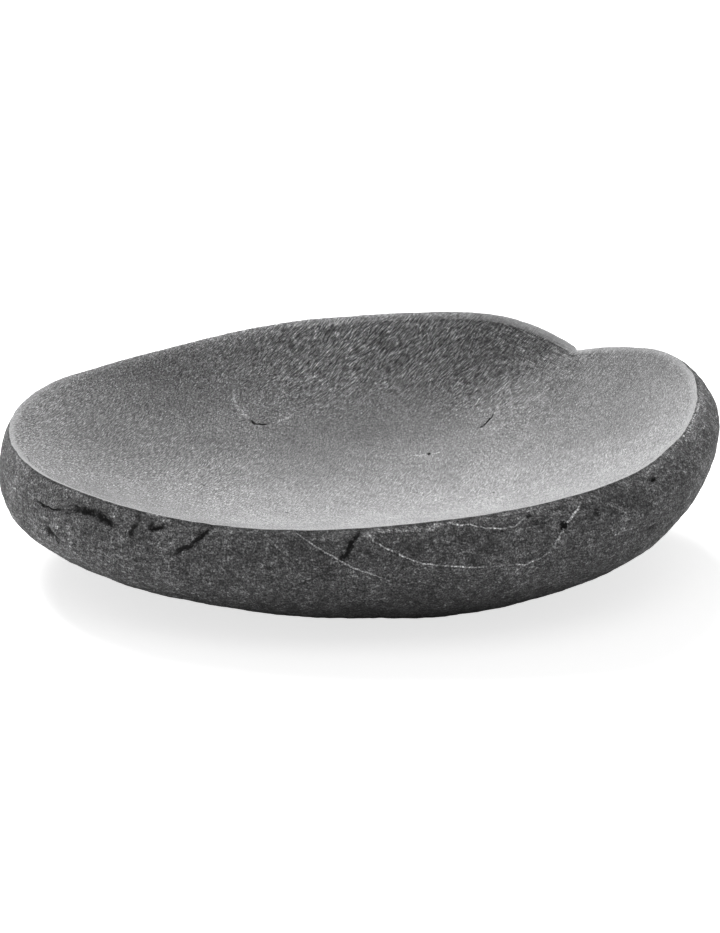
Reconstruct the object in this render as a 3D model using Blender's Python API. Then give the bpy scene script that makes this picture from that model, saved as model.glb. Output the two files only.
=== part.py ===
"""A carved stone dish: a river cobble with a ground hollow, standing on four rubber feet.

Metres, +Z up. The origin is on the standing surface, under the middle of the dish. The low front rim
faces -Y, the high back wall +Y, and the wide lobe beside the cleft in the rim +X.
"""

import math

import bmesh
import bpy
from mathutils import Vector

# The stone, measured over its crust and from its ground base.
STONE_WIDTH = 0.300
STONE_DEPTH = 0.204
LOW_RIM_HEIGHT = 0.048
CREST_HEIGHT = 0.074

# The ground base that the feet are stuck to, and where its middle lies from the stone's middle.
BASE_WIDTH = 0.132
BASE_DEPTH = 0.118
BASE_OFFSET = Vector((0.014, -0.011))

# The hollow: stone left under its deepest point, where that lies, and the ground edge round the rim.
FLOOR_THICKNESS = 0.024
HOLLOW_OFFSET = Vector((0.012, 0.010))
RIM_LAND = 0.0026
RIM_LAND_DROP = 0.0010

# How far the crust stands out past the rim, at four bearings.
OVERHANG_RIGHT = 0.0095
OVERHANG_BACK = 0.0065
OVERHANG_LEFT = 0.0050
OVERHANG_FRONT = 0.0077

# The cleft in the back of the rim: the fold that it makes in the crust.
CLEFT_BEARING = 37.0
CLEFT_FOLD_DEPTH = 0.0035
CLEFT_FOLD_SPREAD = 9.0

# The rubber feet.
FOOT_DIAMETER = 0.014
FOOT_HEIGHT = 0.003
FOOT_TAPER = 0.0012
FOOT_EDGE_ROUND = 0.0005
FOOT_EDGE_MARGIN = 0.003
FOOT_GAP = 0.0003

# The rim, once round the stone from the back wall's side of the cleft to the lobe's side of it:
# bearing in degrees from +X, reach from the middle in millimetres at the nominal size, and lift from
# the lowest rim (0) to the crest (1).
RIM_STATIONS = (
    (37.4, 119.0, 0.59),
    (45.0, 114.0, 0.80),
    (52.0, 109.0, 0.93),
    (60.0, 102.0, 1.00),
    (72.0, 95.0, 0.98),
    (90.0, 91.0, 0.915),
    (106.0, 95.0, 0.82),
    (120.0, 102.0, 0.69),
    (135.0, 113.0, 0.515),
    (150.0, 129.0, 0.36),
    (162.0, 139.5, 0.33),
    (182.0, 143.5, 0.32),
    (200.0, 139.0, 0.255),
    (217.0, 126.0, 0.155),
    (240.0, 107.5, 0.00),
    (257.0, 100.0, -0.01),
    (270.0, 97.0, 0.02),
    (285.0, 100.0, 0.11),
    (300.0, 107.0, 0.20),
    (328.0, 127.2, 0.46),
    (345.0, 134.6, 0.66),
    (360.0, 138.7, 0.765),
    (371.0, 141.3, 0.80),
    (380.0, 139.5, 0.82),
    (389.0, 129.0, 0.72),
    (396.6, 118.6, 0.55),
)
BEARING, REACH, LIFT = range(3)

# The girth, the crust's widest line, as a share of the rim's height: lower on the left, higher on the right.
GIRTH_SHARE = 0.71
GIRTH_LEFT_DROP = 0.04
GIRTH_LEFT_BEARING = 195.0
GIRTH_RIGHT_LIFT = 0.09
GIRTH_RIGHT_BEARING = 345.0
GIRTH_SPREAD = 55.0

# Exponents of the underside's curve: above 1 spreads slowly from the base, below 1 rises at once.
# Both grow by a share towards the slimmest bearing, and shrink by it towards the fullest, opposite.
UNDERSIDE_SPREAD = 1.54
UNDERSIDE_RISE = 0.84
UNDERSIDE_SWING = 0.07
SLIMMEST_BEARING = 345.0

# How far the shoulder rolls in over the girth before the rim cuts it off, in degrees.
SHOULDER_ROLL = 50.0

# The wall's share of fourth-power curve in its height: none is a plain bowl, more is a steeper wall.
WALL_STEEPNESS = 0.25
WALL_STEEPNESS_SWING = 0.35
STEEPEST_BEARING = 110.0

# The rim's rises and dips, and its cleft, fade down the wall: bearings averaged either side at the bottom.
FADE_SPREAD = 28.0
FADE_SAMPLES = 7

# Mesh density: columns round the stone, and rows up the underside, over the shoulder and down the hollow.
COLUMNS = 72
UNDERSIDE_ROWS = 10
SHOULDER_ROWS = 4
HOLLOW_ROWS = 14
FOOT_SEGMENTS = 32


def clear_scene():
    """Remove whatever the file opened with."""
    for old in list(bpy.data.objects):
        bpy.data.objects.remove(old, do_unlink=True)


def swell(bearing, at, spread):
    """A smooth swell of height 1 at one bearing, fading over spread degrees either side."""
    turn = (bearing - at + 180.0) % 360.0 - 180.0
    return math.exp(-((turn / spread) ** 2))


def slope_at(stations, index, column):
    """Slope of a column of the stations at one of them, from the stations either side."""
    before = stations[max(index - 1, 0)]
    after = stations[min(index + 1, len(stations) - 1)]
    return (after[column] - before[column]) / (after[BEARING] - before[BEARING])


def along_rim(bearing, column):
    """Reach or lift of the rim at a bearing, on a smooth curve through the stations."""
    index = 0
    while RIM_STATIONS[index + 1][BEARING] < bearing:
        index += 1
    start, end = RIM_STATIONS[index], RIM_STATIONS[index + 1]
    span = end[BEARING] - start[BEARING]
    t = (bearing - start[BEARING]) / span
    rise_out = slope_at(RIM_STATIONS, index, column) * span
    rise_in = slope_at(RIM_STATIONS, index + 1, column) * span
    blend = t * t * (3 - 2 * t)
    ease_out = t * (1 - t) ** 2
    ease_in = t * t * (t - 1)
    return start[column] * (1 - blend) + end[column] * blend + rise_out * ease_out + rise_in * ease_in


def overhang(bearing):
    """How far the crust stands out past the rim at a bearing."""
    angle = math.radians(bearing)
    side = OVERHANG_RIGHT if math.cos(angle) > 0 else OVERHANG_LEFT
    end = OVERHANG_BACK if math.sin(angle) > 0 else OVERHANG_FRONT
    fold = CLEFT_FOLD_DEPTH * swell(bearing, CLEFT_BEARING, CLEFT_FOLD_SPREAD)
    return side * math.cos(angle) ** 2 + end * math.sin(angle) ** 2 - fold


def outwards(bearing, distance):
    """The point at a distance from the middle on a bearing."""
    angle = math.radians(bearing)
    return Vector((math.cos(angle), math.sin(angle))) * distance


def nominal_rim(bearing):
    """The rim's plan point at the nominal size, before it is stretched to the driving dimensions."""
    return outwards(bearing, along_rim(bearing, REACH) * 0.001)


def nominal_girth(bearing):
    """The girth's plan point at the nominal size."""
    rim = nominal_rim(bearing)
    return rim + outwards(bearing, overhang(bearing))


def column_bearings():
    """The bearing of each column, from one side of the cleft round to the other."""
    first = RIM_STATIONS[0][BEARING]
    last = RIM_STATIONS[-1][BEARING]
    return [first + (last - first) * column / (COLUMNS - 1) for column in range(COLUMNS)]


class Plan:
    """Takes plan points at the nominal size to the stone's driving width and depth, centred."""

    def __init__(self):
        girth = [nominal_girth(bearing) for bearing in column_bearings()]
        low = Vector([min(point[axis] for point in girth) for axis in range(2)])
        high = Vector([max(point[axis] for point in girth) for axis in range(2)])
        self.middle = (low + high) / 2
        self.stretch = Vector((STONE_WIDTH / (high.x - low.x), STONE_DEPTH / (high.y - low.y)))

    def place(self, point):
        """The stretched and centred plan point."""
        return (point - self.middle) * self.stretch


def rim_height(bearing):
    """Height of the rim above the ground base."""
    return LOW_RIM_HEIGHT + (CREST_HEIGHT - LOW_RIM_HEIGHT) * along_rim(bearing, LIFT)


def faded_rim_height(bearing, share):
    """The rim's height averaged over the bearings either side, more of them the lower on the wall."""
    first = RIM_STATIONS[0][BEARING]
    last = RIM_STATIONS[-1][BEARING]
    total = 0.0
    for sample in range(FADE_SAMPLES):
        offset = FADE_SPREAD * math.sqrt(1 - share) * (2 * sample / (FADE_SAMPLES - 1) - 1)
        beside = (bearing + offset - first) % 360.0 + first
        total += rim_height(min(beside, last))
    return total / FADE_SAMPLES


def girth_height(bearing):
    """Height of the crust's widest line above the ground base."""
    drop = GIRTH_LEFT_DROP * swell(bearing, GIRTH_LEFT_BEARING, GIRTH_SPREAD)
    lift = GIRTH_RIGHT_LIFT * swell(bearing, GIRTH_RIGHT_BEARING, GIRTH_SPREAD)
    return rim_height(bearing) * (GIRTH_SHARE - drop + lift)


def base_edge(bearing):
    """The edge of the ground base on a bearing."""
    return BASE_OFFSET + outwards(bearing, 0.5) * Vector((BASE_WIDTH, BASE_DEPTH))


def underside_point(plan, bearing, share):
    """The crust from the edge of the base (share 0) to the girth (share 1)."""
    angle = share * math.pi / 2
    slimming = 1 + UNDERSIDE_SWING * math.cos(math.radians(bearing - SLIMMEST_BEARING))
    spread = math.sin(angle) ** (UNDERSIDE_SPREAD * slimming)
    rise = 1 - max(math.cos(angle), 0.0) ** (UNDERSIDE_RISE * slimming)
    edge = base_edge(bearing)
    girth = plan.place(nominal_girth(bearing))
    return (edge + (girth - edge) * spread).to_3d() + Vector((0, 0, girth_height(bearing) * rise))


def shoulder_point(plan, bearing, share):
    """The crust from the girth (share 0) up and over to the outer edge of the rim (share 1)."""
    roll = math.radians(SHOULDER_ROLL)
    inward = (1 - math.cos(roll * share)) / (1 - math.cos(roll))
    upward = math.sin(roll * share) / math.sin(roll)
    girth = plan.place(nominal_girth(bearing))
    rim = plan.place(nominal_rim(bearing))
    low, high = girth_height(bearing), rim_height(bearing)
    return (girth + (rim - girth) * inward).to_3d() + Vector((0, 0, low + (high - low) * upward))


def hollow_point(plan, bearing, share):
    """The hollow from its deepest point (share 0) to the inner edge of the rim (share 1)."""
    rim = plan.place(nominal_rim(bearing))
    across = rim - HOLLOW_OFFSET
    inner = rim - across.normalized() * RIM_LAND
    swing = WALL_STEEPNESS_SWING * math.cos(math.radians(bearing - STEEPEST_BEARING))
    steepness = WALL_STEEPNESS + swing
    rise = (1 - steepness) * share**2 + steepness * share**4
    top = faded_rim_height(bearing, share) - RIM_LAND_DROP
    point = HOLLOW_OFFSET + (inner - HOLLOW_OFFSET) * share
    return point.to_3d() + Vector((0, 0, FLOOR_THICKNESS + (top - FLOOR_THICKNESS) * rise))


def skin_point(plan, bearing, row):
    """The stone's skin on one bearing, by row: up the outside, over the rim and down the hollow."""
    if row <= UNDERSIDE_ROWS:
        return underside_point(plan, bearing, row / UNDERSIDE_ROWS)
    row -= UNDERSIDE_ROWS
    if row <= SHOULDER_ROWS:
        return shoulder_point(plan, bearing, row / SHOULDER_ROWS)
    row -= SHOULDER_ROWS + 1
    return hollow_point(plan, bearing, 1 - row / HOLLOW_ROWS)


def material(name, colour, roughness):
    """A plain Principled material."""
    made = bpy.data.materials.new(name)
    made.use_nodes = True
    shader = made.node_tree.nodes["Principled BSDF"]
    shader.inputs["Base Color"].default_value = (*colour, 1.0)
    shader.inputs["Roughness"].default_value = roughness
    shader.inputs["Metallic"].default_value = 0.0
    return made


def make_object(name, bm, finish, collection, sharp_degrees):
    """Put a finished bmesh into the collection as one named object, shaded smooth."""
    mesh = bpy.data.meshes.new(name)
    bm.to_mesh(mesh)
    bm.free()
    mesh.materials.append(finish)
    mesh.shade_smooth()
    mesh.set_sharp_from_angle(angle=math.radians(sharp_degrees))
    made = bpy.data.objects.new(name, mesh)
    collection.objects.link(made)
    return made


def make_stone(collection, finish):
    """The stone: a sphere's rows and columns drawn out into crust, rim and hollow."""
    rings = UNDERSIDE_ROWS + SHOULDER_ROWS + HOLLOW_ROWS + 2
    plan = Plan()
    bearings = column_bearings()
    bm = bmesh.new()
    bmesh.ops.create_uvsphere(bm, u_segments=COLUMNS, v_segments=rings, radius=1.0)
    for vert in bm.verts:
        ring = round((math.asin(max(-1.0, min(1.0, vert.co.z))) / math.pi + 0.5) * rings)
        column = round(math.atan2(vert.co.y, vert.co.x) / math.tau * COLUMNS) % COLUMNS
        if ring == 0:
            vert.co = BASE_OFFSET.to_3d()
        else:
            vert.co = skin_point(plan, bearings[column], ring - 1)
    bmesh.ops.recalc_face_normals(bm, faces=bm.faces)
    made = make_object("stone_dish", bm, finish, collection, 35.0)
    made.location.z = FOOT_HEIGHT + FOOT_GAP
    return made


def foot_places():
    """Name and plan place of each foot: the four corners of the base, inside its edge."""
    margin = FOOT_DIAMETER / 2 + FOOT_EDGE_MARGIN
    reach = Vector((BASE_WIDTH / 2 - margin, BASE_DEPTH / 2 - margin))
    corners = (("back_right", 45.0), ("back_left", 135.0), ("front_left", 225.0), ("front_right", 315.0))
    return [(name, BASE_OFFSET + outwards(bearing, 1.0) * reach) for name, bearing in corners]


def make_foot(name, place, collection, finish):
    """A round rubber foot: wider where it is stuck on, with its lower edge rounded."""
    bm = bmesh.new()
    bmesh.ops.create_cone(
        bm,
        cap_ends=True,
        segments=FOOT_SEGMENTS,
        radius1=FOOT_DIAMETER / 2 - FOOT_TAPER,
        radius2=FOOT_DIAMETER / 2,
        depth=FOOT_HEIGHT,
    )
    lower = [edge for edge in bm.edges if all(vert.co.z < 0 for vert in edge.verts)]
    bmesh.ops.bevel(
        bm, geom=lower, offset=FOOT_EDGE_ROUND, segments=2, profile=0.5, affect="EDGES", material=-1
    )
    made = make_object(f"rubber_foot_{name}", bm, finish, collection, 40.0)
    made.location = (place.x, place.y, FOOT_HEIGHT / 2)
    return made


def main():
    """Build the dish and its feet."""
    clear_scene()
    collection = bpy.data.collections.new("carved_stone_dish")
    bpy.context.scene.collection.children.link(collection)
    make_stone(collection, material("dark_basalt", (0.085, 0.085, 0.087), 0.85))
    rubber = material("black_rubber", (0.02, 0.02, 0.02), 0.75)
    for name, place in foot_places():
        make_foot(name, place, collection, rubber)


main()
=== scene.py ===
"""The looks of a carved stone dish: a river cobble with a tooled hollow, standing on four rubber feet.

Metres, +Z up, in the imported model's frame: the low front rim faces -Y, the high back wall +Y, and the
wide lobe beside the cleft in the rim +X. Bearings are degrees about the middle, counted from +X to +Y.
"""

import logging
import math
from dataclasses import dataclass
from enum import Enum

import bmesh
import bpy
import numpy as np
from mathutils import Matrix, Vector, noise


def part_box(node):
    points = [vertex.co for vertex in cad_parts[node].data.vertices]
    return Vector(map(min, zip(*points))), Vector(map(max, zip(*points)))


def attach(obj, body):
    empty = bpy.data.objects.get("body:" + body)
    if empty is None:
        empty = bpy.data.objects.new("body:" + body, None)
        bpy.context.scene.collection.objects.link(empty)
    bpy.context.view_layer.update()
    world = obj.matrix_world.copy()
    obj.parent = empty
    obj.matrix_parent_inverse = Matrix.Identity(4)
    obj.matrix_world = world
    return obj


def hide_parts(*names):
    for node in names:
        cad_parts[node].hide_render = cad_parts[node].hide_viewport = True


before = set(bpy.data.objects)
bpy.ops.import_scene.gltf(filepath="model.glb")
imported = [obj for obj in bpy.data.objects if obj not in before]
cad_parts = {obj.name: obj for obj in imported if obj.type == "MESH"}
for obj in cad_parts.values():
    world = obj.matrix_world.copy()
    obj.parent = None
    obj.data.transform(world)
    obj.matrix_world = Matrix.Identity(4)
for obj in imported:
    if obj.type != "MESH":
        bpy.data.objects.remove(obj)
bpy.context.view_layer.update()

LOG = logging.getLogger("stone_dish")
STONE_NODE = "stone_dish"
FOOT_NODES = tuple(
    f"rubber_foot_{place}" for place in ("back_right", "back_left", "front_left", "front_right")
)
BODY = "root"
MM = 0.001
TINY = 1e-12
Triple = tuple[float, float, float]


class Zone(Enum):
    """The stretches of the stone's skin, in order from the middle of its base to the middle of the hollow."""

    BASE = 0
    UNDERSIDE = 1
    SHOULDER = 2
    LAND = 3
    HOLLOW = 4


class Side(Enum):
    """Where a mark lies, and how its points are given."""

    CRUST = "bearing in degrees, height in millimetres"
    HOLLOW = "x and y in millimetres"


class Tone(Enum):
    """Whether a mark is filled with pale mineral or is dark and open."""

    PALE = "vein"
    DARK = "crack"


@dataclass(frozen=True)
class Mark:
    """A crack, gouge, pit or vein: a line of points on the skin, or a single one.

    The width and depth are in millimetres. The strength is that of its colour.
    """

    tone: Tone
    side: Side
    points: tuple[tuple[float, float], ...]
    width: float
    depth: float
    strength: float


def vein(
    side: Side, width: float, strength: float, *points: tuple[float, float], depth: float = 0.0
) -> Mark:
    """A pale mineral line along some points, flush with the skin unless it has a depth."""
    return Mark(Tone.PALE, side, points, width, depth, strength)


def crack(side: Side, width: float, depth: float, strength: float, *points: tuple[float, float]) -> Mark:
    """A dark open line along some points, or a pit at one of them."""
    return Mark(Tone.DARK, side, points, width, depth, strength)


CRUST_MARKS = (
    vein(
        Side.CRUST, 0.38, 0.9,
        (255, 53), (258, 49), (262, 45), (265.5, 42), (269, 39), (273, 35.8), (276.5, 33),
    ),
    vein(
        Side.CRUST, 0.38, 1.1,
        (270.6, 51.8), (273.2, 48.2), (275.5, 45.8), (279, 43.2), (283, 40.5), (286.5, 39), (293, 38.2),
        (300, 37.6),
    ),
    vein(Side.CRUST, 0.36, 1.0, (300, 37.4), (303, 37.4), (305.5, 39.4), (307.3, 42)),
    vein(
        Side.CRUST, 0.55, 1.0,
        (307.3, 42), (308.8, 46), (309.8, 50.5), (311, 52.5), (312.4, 54.5), (313.6, 56.5), (315, 58.6),
    ),
    vein(
        Side.CRUST, 0.36, 1.1,
        (288.5, 54), (291, 52.8), (293, 53.4), (295.5, 52), (299, 51.8), (301.5, 52.2), (304, 55),
    ),
    vein(Side.CRUST, 1.0, 0.6, (271, 51.8), (276, 51.4), (281, 51.8), (285, 52.2), (288.5, 54)),
    vein(Side.CRUST, 0.3, 0.6, (286.5, 48.8), (289.5, 47.6), (291.5, 46.6)),
    vein(Side.CRUST, 0.35, 0.45, (318, 57), (321, 53), (323, 49.5)),
    vein(Side.CRUST, 0.3, 0.35, (251, 49), (253.5, 45), (256, 43)),
    crack(
        Side.CRUST, 1.9, 1.9, 1.0,
        (211.5, 48.2), (213.5, 49.6), (215.7, 50.2), (218.0, 49.6), (220.3, 48.4), (222.4, 47.0),
    ),
    crack(Side.CRUST, 0.5, 0.4, 1.1, (205.2, 47.6), (207.5, 47.4), (209.5, 46.8), (211.5, 48.2)),
    crack(Side.CRUST, 1.0, 0.9, 0.95, (225, 53.6), (225.4, 49.5), (225.2, 45.5), (225.9, 42.5)),
    crack(Side.CRUST, 1.5, 1.5, 1.0, (227.4, 49.2), (229.0, 49.0), (230.8, 49.8)),
    crack(Side.CRUST, 1.25, 1.1, 1.0, (239.4, 51.2), (237.8, 47.8), (235.8, 43.6), (233, 39.2)),
    crack(Side.CRUST, 1.2, 1.1, 0.9, (207.6, 38.6), (209.2, 37.0), (211, 34.8)),
    crack(Side.CRUST, 0.9, 0.8, 0.8, (202, 35.5)),
    crack(Side.CRUST, 0.9, 0.7, 0.8, (213.8, 35.5)),
    crack(Side.CRUST, 1.0, 0.9, 1.0, (270.4, 51.4), (269.0, 48), (267.4, 44.5), (265.6, 40.5)),
    crack(Side.CRUST, 0.6, 0.4, 0.5, (265, 39.5), (262, 36.5), (259, 33.5), (256.5, 31)),
    crack(Side.CRUST, 1.5, 0.9, 1.1, (309.8, 51.0)),
    crack(Side.CRUST, 1.3, 0.6, 1.0, (304.6, 55.8), (304.9, 54.6)),
    crack(Side.CRUST, 1.2, 0.4, 0.8, (305.4, 53.2), (306.6, 52.4)),
    crack(Side.CRUST, 1.4, 0.8, 1.1, (329, 60.8), (329.2, 59.2)),
    crack(Side.CRUST, 1.8, 0.5, 0.8, (316, 54.0)),
    crack(Side.CRUST, 1.4, 0.6, 0.8, (326.5, 41.5), (328.5, 42.0)),
    crack(Side.CRUST, 0.9, 0.8, 0.9, (344, 39), (342.5, 36), (341, 33)),
    crack(Side.CRUST, 1.0, 0.9, 0.8, (119, 40), (112, 34), (107, 33)),
    vein(Side.CRUST, 0.4, 0.8, (60, 52), (72, 45), (80, 47), (95, 36), (104, 38)),
    crack(Side.CRUST, 0.8, 0.7, 0.8, (150, 34), (158, 29)),
    vein(Side.CRUST, 0.38, 0.7, (10, 50), (16, 42), (24, 40), (31, 33)),
    crack(Side.CRUST, 1.2, 0.9, 0.8, (2, 30)),
)

HOLLOW_MARKS = (
    vein(
        Side.HOLLOW, 0.7, 1.0,
        (-56, 72), (-55.5, 68.5), (-53.5, 64.5), (-50.5, 61), (-47.5, 59), depth=0.1,
    ),
    crack(Side.HOLLOW, 0.5, 0.6, 1.3, (-48.5, 59.2), (-46, 57.2), (-43, 56.8), (-39.5, 58.0)),
    vein(Side.HOLLOW, 0.65, 1.1, (-38, 59), (-33, 61), (-29, 63.5)),
    crack(Side.HOLLOW, 0.5, 0.6, 1.3, (51.5, 49.8), (54, 52), (56, 54.6), (58.5, 56.2)),
    vein(Side.HOLLOW, 0.5, 0.9, (58.5, 56.5), (62, 60)),
    crack(Side.HOLLOW, 0.5, 0.3, 0.7, (62.5, 48.0), (64.5, 47.0)),
    vein(Side.HOLLOW, 0.45, 0.6, (61.5, 50.2), (65.5, 49.6)),
    crack(Side.HOLLOW, 0.9, 0.6, 1.3, (29.5, 37.8)),
    vein(Side.HOLLOW, 0.45, 0.8, (22, 37.5), (28, 37), (36, 38.5)),
    crack(Side.HOLLOW, 0.7, 0.5, 1.2, (22.5, 2.0), (24.0, 1.0)),
    vein(Side.HOLLOW, 0.7, 0.8, (25.5, 0.5)),
    crack(Side.HOLLOW, 0.55, 0.3, 1.0, (55.5, -12.5)),
    crack(Side.HOLLOW, 0.6, 0.3, 1.0, (64, -4.0), (65.5, -3.2)),
    crack(Side.HOLLOW, 0.6, 0.3, 1.0, (79, -17)),
    vein(Side.HOLLOW, 0.6, 0.8, (81, -15.5)),
    crack(Side.HOLLOW, 0.6, 0.3, 1.0, (46, -37)),
    crack(Side.HOLLOW, 0.5, 0.3, 0.8, (37, -33)),
    crack(Side.HOLLOW, 0.7, 0.3, 1.1, (-30, -31)),
    crack(Side.HOLLOW, 0.7, 0.3, 1.0, (-26, -33.5)),
    crack(Side.HOLLOW, 0.7, 0.3, 1.0, (-21.5, -28)),
    crack(Side.HOLLOW, 0.6, 0.3, 0.9, (-34, -27)),
    crack(Side.HOLLOW, 1.1, 0.3, 0.6, (-64, -6), (-67, -3)),
    crack(Side.HOLLOW, 0.9, 0.3, 0.5, (-60, -11)),
    vein(Side.HOLLOW, 0.6, 0.8, (67, -3.2), (69, -2.4)),
    crack(Side.HOLLOW, 1.0, 0.0, 1.2, (94.6, 71.8), (93.4, 71.0)),
    vein(Side.HOLLOW, 0.4, 0.45, (-4, 77), (7, 65), (17, 48)),
    vein(Side.HOLLOW, 0.35, 0.3, (52, 73), (61, 72), (66, 68), (66, 59)),
)


def swell(bearing: np.ndarray, at: float, spread: float) -> np.ndarray:
    """A smooth swell of height 1 at one bearing, fading over spread degrees either side."""
    turn = (bearing - at + 180.0) % 360.0 - 180.0
    return np.exp(-((turn / spread) ** 2))


def swells(bearing: np.ndarray, *each: Triple) -> np.ndarray:
    """Several swells added up, each given as its height, bearing and spread."""
    return sum(height * swell(bearing, at, spread) for height, at, spread in each)


def smooth_step(low: float, high: float, value: np.ndarray) -> np.ndarray:
    """0 below low, 1 above high, and a smooth rise between them."""
    t = np.clip((value - low) / (high - low), 0.0, 1.0)
    return t * t * (3 - 2 * t)


def outwards(bearing: np.ndarray, distance: np.ndarray) -> np.ndarray:
    """The plan points at a distance from the middle on each bearing."""
    angle = np.radians(bearing)
    return np.stack([np.cos(angle), np.sin(angle)], axis=-1) * np.asarray(distance)[..., None]


@dataclass(frozen=True)
class Relief:
    """One layer of natural roughness: its height, noise cells in a metre, layers of noise, and seed."""

    height: float
    cells: Triple
    octaves: int
    seed: float

    def lift(self, points: np.ndarray) -> np.ndarray:
        """How far the layer lifts each point, about -height to height.

        Args:
            points: The points to lift, in metres.

        Returns:
            A lift in metres for each point.
        """
        scaled = points.reshape(-1, 3) * np.asarray(self.cells) + self.seed
        values = [noise.fractal(Vector(point), 1.0, 2.0, self.octaves) for point in scaled]
        return self.height * np.array(values).reshape(points.shape[:-1])


@dataclass(frozen=True)
class StoneForm:
    """The stone's large shape, worked out from bearing and height on the skin.

    The stations run once round the rim, from the back wall's side of the cleft to the lobe's side of it:
    bearing, reach from the middle in millimetres at the nominal size, and lift from the lowest rim (0)
    to the crest (1).
    """

    width: float
    depth: float
    bottom: float
    crest: float
    low_rim: float = 0.048
    base_width: float = 0.132
    base_depth: float = 0.118
    base_offset: tuple[float, float] = (0.014, -0.011)
    floor: float = 0.024
    hollow_offset: tuple[float, float] = (0.012, 0.010)
    land: float = 0.0026
    land_drop: float = 0.0010
    overhang_right: float = 0.0095
    overhang_back: float = 0.0065
    overhang_left: float = 0.0050
    overhang_front: float = 0.0077
    cleft_bearing: float = 37.0
    fold_depth: float = 0.0035
    fold_spread: float = 9.0
    girth_share: float = 0.71
    girth_left_drop: float = 0.04
    girth_left_bearing: float = 195.0
    girth_right_lift: float = 0.09
    girth_right_bearing: float = 345.0
    girth_spread: float = 55.0
    underside_spread: float = 1.54
    underside_rise: float = 0.84
    underside_swing: float = 0.07
    slimmest_bearing: float = 345.0
    shoulder_roll: float = 50.0
    wall_steepness: float = 0.25
    wall_steepness_swing: float = 0.35
    steepest_bearing: float = 110.0
    fade_spread: float = 28.0
    fade_samples: int = 7
    stations: tuple[Triple, ...] = (
        (37.4, 119.0, 0.59),
        (45.0, 114.0, 0.80),
        (52.0, 109.0, 0.93),
        (60.0, 102.0, 1.00),
        (72.0, 95.0, 0.98),
        (90.0, 91.0, 0.915),
        (106.0, 95.0, 0.82),
        (120.0, 102.0, 0.69),
        (135.0, 113.0, 0.515),
        (150.0, 129.0, 0.36),
        (162.0, 139.5, 0.33),
        (182.0, 143.5, 0.32),
        (200.0, 139.0, 0.255),
        (217.0, 126.0, 0.155),
        (240.0, 107.5, 0.00),
        (257.0, 100.0, -0.01),
        (270.0, 97.0, 0.02),
        (285.0, 100.0, 0.11),
        (300.0, 107.0, 0.20),
        (328.0, 127.2, 0.46),
        (345.0, 134.6, 0.66),
        (360.0, 138.7, 0.765),
        (371.0, 141.3, 0.80),
        (380.0, 139.5, 0.82),
        (389.0, 129.0, 0.72),
        (396.6, 118.6, 0.55),
    )

    def along_rim(self, bearing: np.ndarray, column: int) -> np.ndarray:
        """Reach (column 1) or lift (column 2) of the rim, on a smooth curve through the stations.

        Args:
            bearing: The bearing of each column, in degrees.
            column: Which number of a station is followed.

        Returns:
            The reach in millimetres, or the lift, at each bearing.
        """
        table = np.array(self.stations)
        at, value = table[:, 0], table[:, column]
        before = np.maximum(np.arange(len(at)) - 1, 0)
        after = np.minimum(np.arange(len(at)) + 1, len(at) - 1)
        slope = (value[after] - value[before]) / (at[after] - at[before])
        start = np.clip(np.searchsorted(at[1:], bearing), 0, len(at) - 2)
        span = at[start + 1] - at[start]
        t = (bearing - at[start]) / span
        blend = t * t * (3 - 2 * t)
        eased = slope[start] * t * (1 - t) ** 2 + slope[start + 1] * t * t * (t - 1)
        return value[start] * (1 - blend) + value[start + 1] * blend + eased * span

    def bearings(self, count: int) -> np.ndarray:
        """The bearing of each column, from one side of the cleft round to the other."""
        return np.linspace(self.stations[0][0], self.stations[-1][0], count)

    def overhang(self, bearing: np.ndarray) -> np.ndarray:
        """How far the crust stands out past the rim.

        Args:
            bearing: The bearing of each column, in degrees.

        Returns:
            The overhang at each bearing, in metres.
        """
        cosine, sine = np.cos(np.radians(bearing)), np.sin(np.radians(bearing))
        side = np.where(cosine > 0, self.overhang_right, self.overhang_left)
        end = np.where(sine > 0, self.overhang_back, self.overhang_front)
        fold = self.fold_depth * swell(bearing, self.cleft_bearing, self.fold_spread)
        return side * cosine**2 + end * sine**2 - fold

    def place(self, points: np.ndarray) -> np.ndarray:
        """Plan points at the nominal size, taken to the stone's own width and depth and centred.

        Args:
            points: Plan points about the middle.

        Returns:
            The same points on the stone.
        """
        round_it = self.bearings(720)
        girth = outwards(round_it, self.along_rim(round_it, 1) * MM + self.overhang(round_it))
        low, high = girth.min(axis=0), girth.max(axis=0)
        return (points - (low + high) / 2) * np.array((self.width, self.depth)) / (high - low)

    def rim(self, bearing: np.ndarray) -> np.ndarray:
        """Plan points of the rim's outer edge."""
        return self.place(outwards(bearing, self.along_rim(bearing, 1) * MM))

    def girth(self, bearing: np.ndarray) -> np.ndarray:
        """Plan points of the crust's widest line."""
        return self.place(outwards(bearing, self.along_rim(bearing, 1) * MM + self.overhang(bearing)))

    def rim_height(self, bearing: np.ndarray) -> np.ndarray:
        """Height of the rim above the ground base."""
        return self.low_rim + (self.crest - self.low_rim) * self.along_rim(bearing, 2)

    def faded_rim_height(self, bearing: np.ndarray, share: float) -> np.ndarray:
        """The rim's height averaged over the bearings either side, more of them the lower on the wall.

        Args:
            bearing: The bearing of each column, in degrees.
            share: How far up this stretch of the skin, 0 to 1.

        Returns:
            The faded height at each bearing.
        """
        first, last = self.stations[0][0], self.stations[-1][0]
        total = np.zeros_like(bearing)
        for offset in np.linspace(-1.0, 1.0, self.fade_samples):
            beside = bearing + offset * self.fade_spread * math.sqrt(1 - share)
            total += self.rim_height(np.minimum((beside - first) % 360.0 + first, last))
        return total / self.fade_samples

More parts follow.
